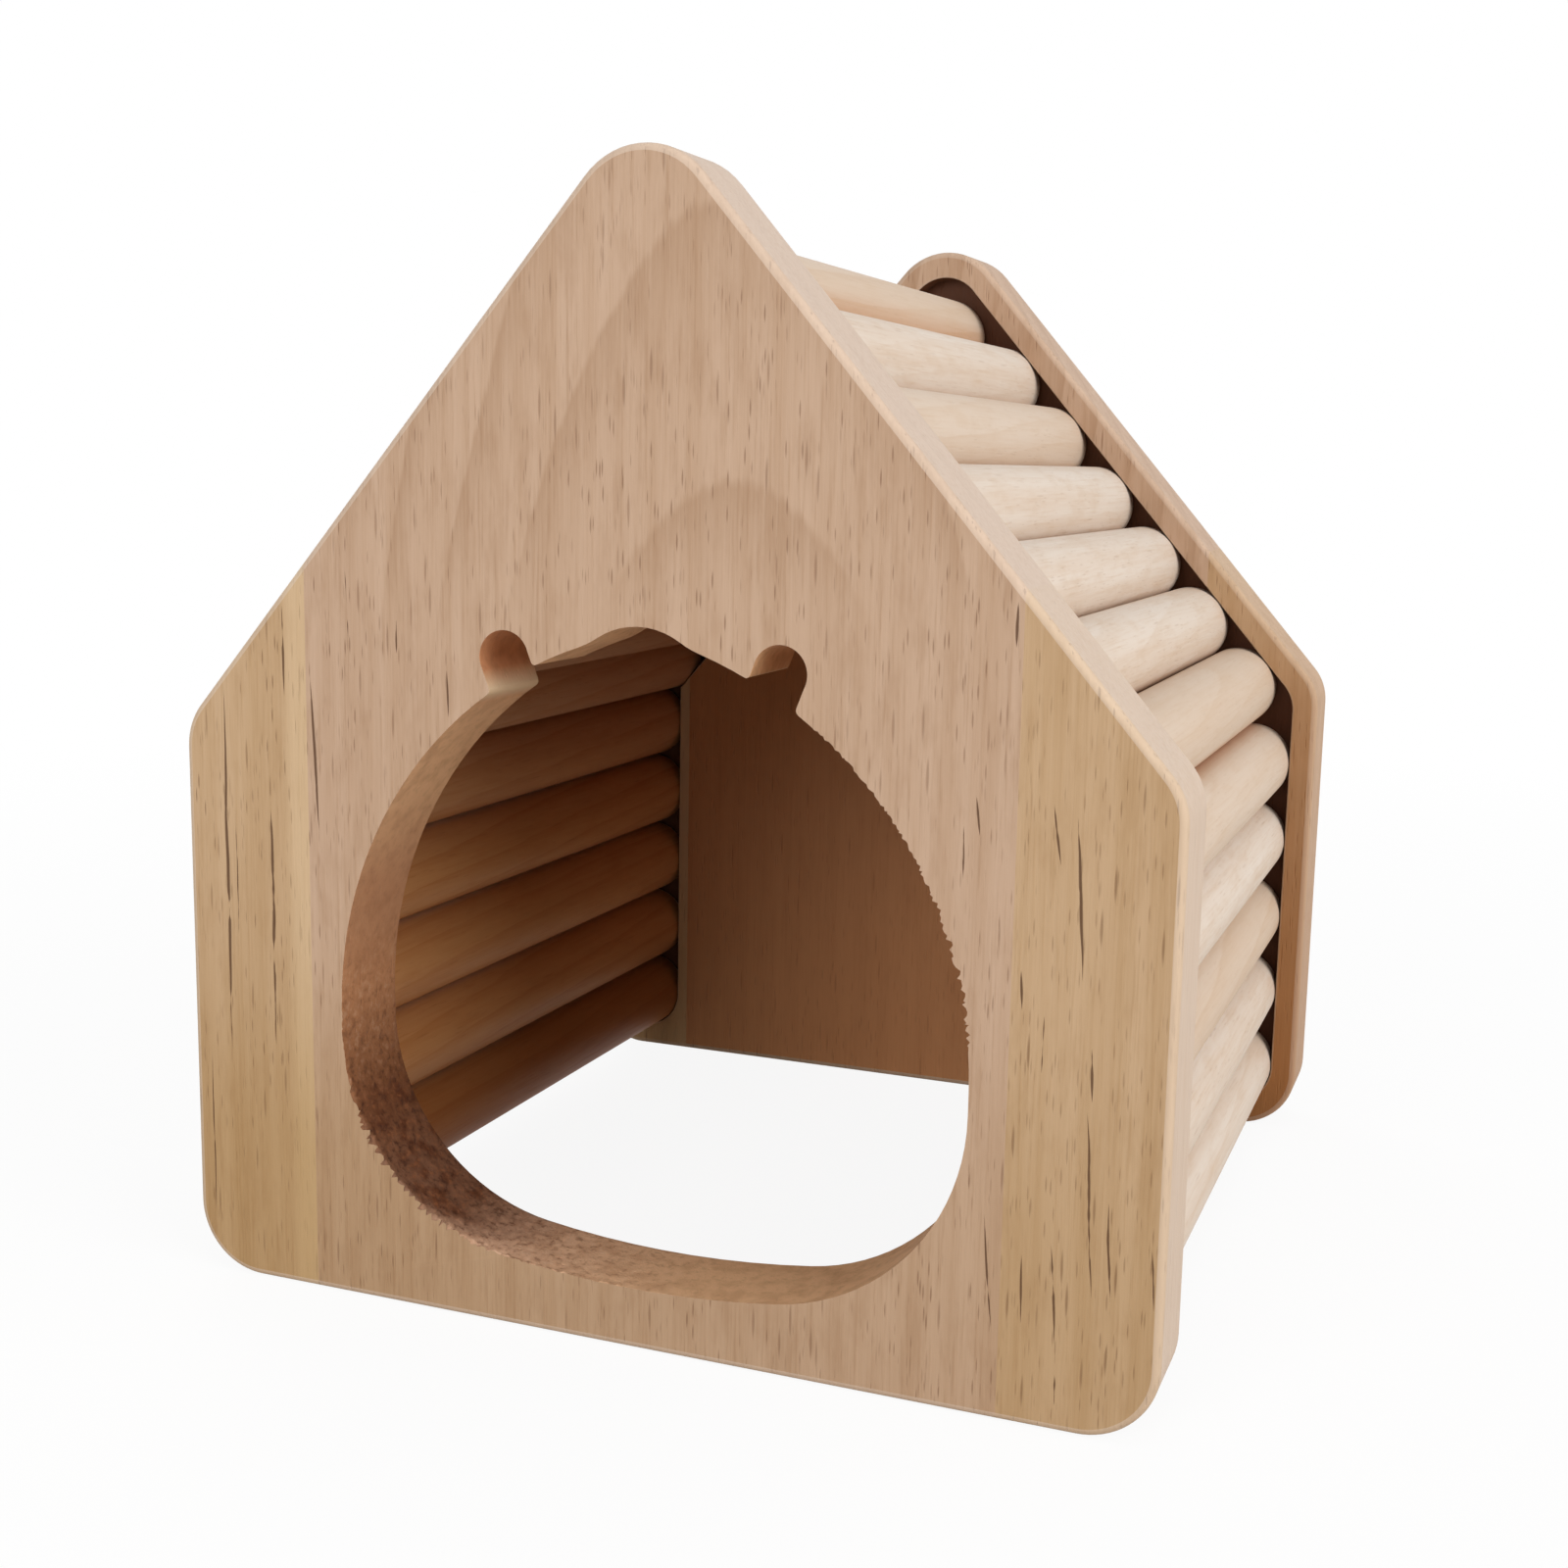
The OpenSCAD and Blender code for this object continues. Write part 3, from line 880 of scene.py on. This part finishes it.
def round_tips(bm, layer):
    """Rounds the four thin tips beside the ears and returns the place of the lower left one."""
    tips = [e for e in bm.edges if is_arris(e) and all(f[layer["door_cut"]] == 1.0 for f in e.link_faces)]
    frayed_and_highlight = min((e.verts[0].co.copy() for e in tips if e.verts[0].co.x < 0), key=lambda co: co.z)
    round_edges(bm, tips, tip_round, tip_segments)
    print("tips rounded:", len(tips))
    return frayed_and_highlight


print("the door's middle is", round(door_middle.z / MM), "mm above the ground")

# %% [markdown]
# ## Tearing the door
# A bump could fake the fur, but the ragged edge shows against the light, so it has to be real. The
# torn part of the wall is cut into a fine net, by planes along the board and by planes through the
# door's middle, and each of its points is moved outwards or inwards by a small chance amount. The
# wall behind the cheek's teeth is cut by the planes through the door's middle alone, so that each
# tooth has its own narrow strip.

# %% Tearing the door
wall_depths = [0.35, 0.75] + [1.25 + 0.55 * i for i in range(18)] + [11.2]
net_step = math.radians(0.6)
depth_snap, turn_snap = 0.02 * MM, 0.06 * MM
torn_turns, cheek_turns = (178, 290), (-7, 60)
torn_right, torn_top, torn_enough = 12, 50, 0.3
cheek_left, cheek_heights, teeth_heights = 18, (40, 78), (42, 76)
corner_bite, tooth_bites, tooth_spread = (-0.45, 0.8), (-0.15, 0.1, 0.5), (0.6, 1.2)
fur_size, fur_height, fur_chance = 1.1 * MM, 0.2, 0.7
fur_front, fur_back = 0.1 * MM, 0.5 * MM


def outward(v):
    """The way from the door's middle to a point, in the plane of the board."""
    return Vector((v.co.x, 0, v.co.z - door_middle.z)).normalized()


def turn_of(v):
    """The angle at which a point lies round the door's middle."""
    return math.atan2(v.co.z - door_middle.z, v.co.x)


def tear_door(bm, layer):
    """Makes the furry wall and the ragged arris, and returns the edges that stay as torn."""
    def door_faces():
        return [(f, f.calc_center_median() / MM) for f in bm.faces if f[layer["door_cut"]] == 1.0]

    def torn_wall():
        return [f for f, at in door_faces()
                if at.x < torn_right and at.z < torn_top and torn_share(at.x, at.z) > 0]

    def cheek_wall():
        low, high = cheek_heights
        return [f for f, at in door_faces() if at.x > cheek_left and low < at.z < high]

    for depth in wall_depths:
        bmesh.ops.bisect_plane(bm, geom=with_parts(torn_wall()), dist=depth_snap,
                               plane_co=(0, depth * MM - outer_y, 0), plane_no=(0, 1, 0))
    for wall, (first, last) in ((torn_wall, torn_turns), (cheek_wall, cheek_turns)):
        for i in range(round(math.radians(last - first) / net_step)):
            turn = math.radians(first) + i * net_step
            bmesh.ops.bisect_plane(bm, geom=with_parts(wall()), dist=turn_snap,
                                   plane_co=door_middle, plane_no=(-math.sin(turn), 0, math.cos(turn)))

    ragged = []
    for e in bm.edges:
        if lies_at([e], -outer_y) and any(f[layer["door_cut"]] == 1.0 for f in e.link_faces):
            at = (e.verts[0].co + e.verts[1].co) / 2 / MM
            in_corner = at.x < 0 and torn_share(at.x, at.z) > torn_enough
            in_teeth = at.x > cheek_left and teeth_heights[0] < at.z < teeth_heights[1]
            if in_corner or in_teeth:
                ragged.append(e)

    random.seed(11)
    on_arris = {v for e in ragged for v in e.verts}
    for v in sorted(on_arris, key=turn_of):
        if v.co.x < 0:
            amount = random.uniform(*corner_bite)
        else:
            amount = random.choice(tooth_bites) * random.uniform(*tooth_spread)
        v.co += outward(v) * amount * ragged_share(v.co.x / MM, v.co.z / MM) * MM
    inside = {v for f in torn_wall() for v in f.verts
              if -outer_y + fur_front < v.co.y < -inner_y - fur_back}
    for v in sorted(inside - on_arris, key=lambda v: (round(v.co.y, 7), turn_of(v))):
        fur = noise_at.noise(v.co / fur_size) + random.uniform(-fur_chance, fur_chance)
        v.co += outward(v) * fur_height * fur * torn_share(v.co.x / MM, v.co.z / MM) * MM
    print("torn door:", len(on_arris), "points of the edge and", len(inside), "of the wall moved")
    return ragged


print("cuts through the torn wall:", len(wall_depths), "and one every",
      round(math.degrees(net_step), 1), "degrees round the door")

# %% [markdown]
# ## Making the six staves
# Now the helpers are used, in the order in which the board was made: its outline is sanded, the
# door is cut and torn, and the groove is routed. The back board is a browner piece, so its sanded
# edges are less pale, and the painted highlight on its eased arrises is weaker. Last, weighted
# normals keep the large faces flat beside their round arrises.

# %% Six staves
stave_lots = {"front_left": 0.0, "front_middle": 0.0, "front_right": 0.31,
              "back_left": 0.47, "back_middle": 0.6, "back_right": 0.83}
back_sanded, back_highlight = 0.35, 0.5
tip_fray_and_highlight = (1.8, 0.5)


def dress_door(bm, layer):
    """Rounds, parts, tears and eases the door, and marks where it is torn."""
    tip = round_tips(bm, layer)
    part_flats(bm)
    ease_edges(bm, layer, "door_cut", left_torn=set(tear_door(bm, layer)))
    torn, dark_grain_and_shade, frayed_and_highlight = (bm.verts.layers.float.new(name) for name in torn_marks)
    for v in bm.verts:
        x, y, z = v.co / MM
        v[torn] = torn_share(x, z)
        v[dark_grain_and_shade] = dark_grain_and_shade_share(x, y, z)
        v[frayed_and_highlight] = fade(math.hypot(v.co.x - tip.x, v.co.z - tip.z) / MM, *tip_fray_and_highlight)


for which, lot in stave_lots.items():
    node_name = which + "_stave"
    bm = stave_mesh(node_name)
    layer = mark_faces(bm, which)
    ease_edges(bm, layer, "sanded_edge")
    if which == "front_middle":
        dress_door(bm, layer)
    ease_edges(bm, layer, "groove_cut")
    if which.startswith("back"):
        for f in bm.faces:
            f[layer["sanded_edge"]] *= back_sanded
            f[layer["eased_highlight"]] *= back_highlight
    if "middle" in which:
        piece = new_piece(bm, which + "_board", node_name, middle_wood, lot)
    else:
        piece = new_piece(bm, which + "_board", node_name, side_wood, lot)
    flat = piece.modifiers.new("flat_faces", "WEIGHTED_NORMAL")
    flat.keep_sharp = True
    print(piece.name, len(piece.data.polygons), "faces")

# %% [markdown]
# ## The dowels
# A dowel could be a plain cylinder, but a real one has rounded ends from the tumbler. So half of
# its outline is drawn, its two corners are rounded, and the line is spun round the axis. Each point
# also learns how far it faces the room, because that side takes painted shade: a wall dowel faces
# it sideways, a roof dowel square to the slope, and the ridge dowel straight down. Points near an
# end carry a painted highlight on the rounded corner.

# %% Dowels
end_round, end_segments, turned_steps = 1.3 * MM, 5, 56
end_highlight_reach = 1.2 * MM
slope_drop, ridge_drop = 0.86, 3 * MM
room_start, room_spread = 0.5, 1.4
ridge_lot = 0.95


def turned_dowel(low, high, middle, radius):
    """A closed round bar along Y with rounded ends."""
    bm = bmesh.new()
    corners = ((0, low.y), (radius, low.y), (radius, high.y), (0, high.y))
    ends = [bm.verts.new((middle.x + x, y, middle.z)) for x, y in corners]
    for pair in zip(ends, ends[1:]):
        bm.edges.new(pair)
    bmesh.ops.bevel(bm, geom=ends[1:3], offset=end_round, offset_type="OFFSET", affect="VERTICES",
                    segments=end_segments, profile=0.5, material=-1)
    bmesh.ops.spin(bm, geom=bm.verts[:] + bm.edges[:], cent=middle, axis=(0, 1, 0), angle=math.tau,
                   steps=turned_steps, use_merge=True)
    bmesh.ops.remove_doubles(bm, verts=bm.verts, dist=tiny)
    bmesh.ops.recalc_face_normals(bm, faces=bm.faces)
    return bm


random.seed(7)
for node_name in sorted(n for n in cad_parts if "dowel" in n):
    low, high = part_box(node_name)
    middle = (low + high) / 2
    radius = (high.x - low.x) / 2
    bm = turned_dowel(low, high, middle, radius)
    drop = 0.0 if "wall" in node_name else abs(middle.x) * slope_drop + ridge_drop
    inward = Vector((-middle.x, 0, -drop)).normalized()
    room = bm.verts.layers.float.new("room_side")
    eased_highlight = bm.verts.layers.float.new("eased_highlight")
    for v in bm.verts:
        out_way = Vector((v.co.x - middle.x, 0, v.co.z - middle.z)) / radius
        v[room] = min(1.0, max(0.0, room_start + room_spread * out_way.dot(inward)))
        # Points near either end carry the painted highlight of the rounded end.
        v[eased_highlight] = 1.0 if min(v.co.y - low.y, high.y - v.co.y) < end_highlight_reach else 0.0
    lot = max(random.random(), ridge_lot if node_name == "ridge_dowel" else 0.0)
    new_piece(bm, node_name + "_turned", node_name, dowel_wood, lot)
print("dowels:", sum("dowel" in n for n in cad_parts))

# %% [markdown]
# ## The floor
# The house stands on a plain white floor. To the camera the floor is nearly as white as the sky
# and keeps a faint shadow. Light that bounces sees a darker floor, because the inside of the house
# is dark in the photograph: a white floor would throw light up into it. The floor lies a hair below
# the feet, so that the two never share a plane.

# %% Floor
floor_reach = 2.0
floor_drop = 0.05 * MM
white_from, white_to = 0.1, 0.5
near_white, far_white = 0.91, 1.0
floor_bounce, floor_lit = (0.47, 0.40, 0.32, 1), (0.95, 0.95, 0.95, 1)

bm = bmesh.new()
bmesh.ops.create_grid(bm, x_segments=1, y_segments=1, size=floor_reach)
floor_mesh = bpy.data.meshes.new("floor")
bm.to_mesh(floor_mesh)
bm.free()
floor_mesh.transform(Matrix.Translation((0, 0, -floor_drop)))
floor = bpy.data.objects.new("floor", floor_mesh)
scene.collection.objects.link(floor)
floor_white, tree = new_material("floor_white")
bounced = add(tree, "ShaderNodeBsdfDiffuse", {"Color": floor_bounce}).outputs[0]
lit = add(tree, "ShaderNodeBsdfDiffuse", {"Color": floor_lit}).outputs[0]
white = add(tree, "ShaderNodeEmission", {"Color": (1, 1, 1, 1), "Strength": 1.0}).outputs[0]
spot = add(tree, "ShaderNodeTexCoord").outputs["Object"]
far = add(tree, "ShaderNodeVectorMath", {0: spot}, operation="LENGTH").outputs["Value"]
share = add(tree, "ShaderNodeMapRange", {"Value": far, "From Min": white_from, "From Max": white_to,
                                         "To Min": near_white, "To Max": far_white}).outputs["Result"]
shown = add(tree, "ShaderNodeMixShader", {0: share, 1: lit, 2: white}).outputs[0]
both = add(tree, "ShaderNodeMixShader", {0: seen_share(tree), 1: bounced, 2: shown}).outputs[0]
add(tree, "ShaderNodeOutputMaterial", {"Surface": both})
floor.data.materials.append(floor_white)
print("floor:", 2 * floor_reach, "m wide, with", len(tree.nodes), "nodes")
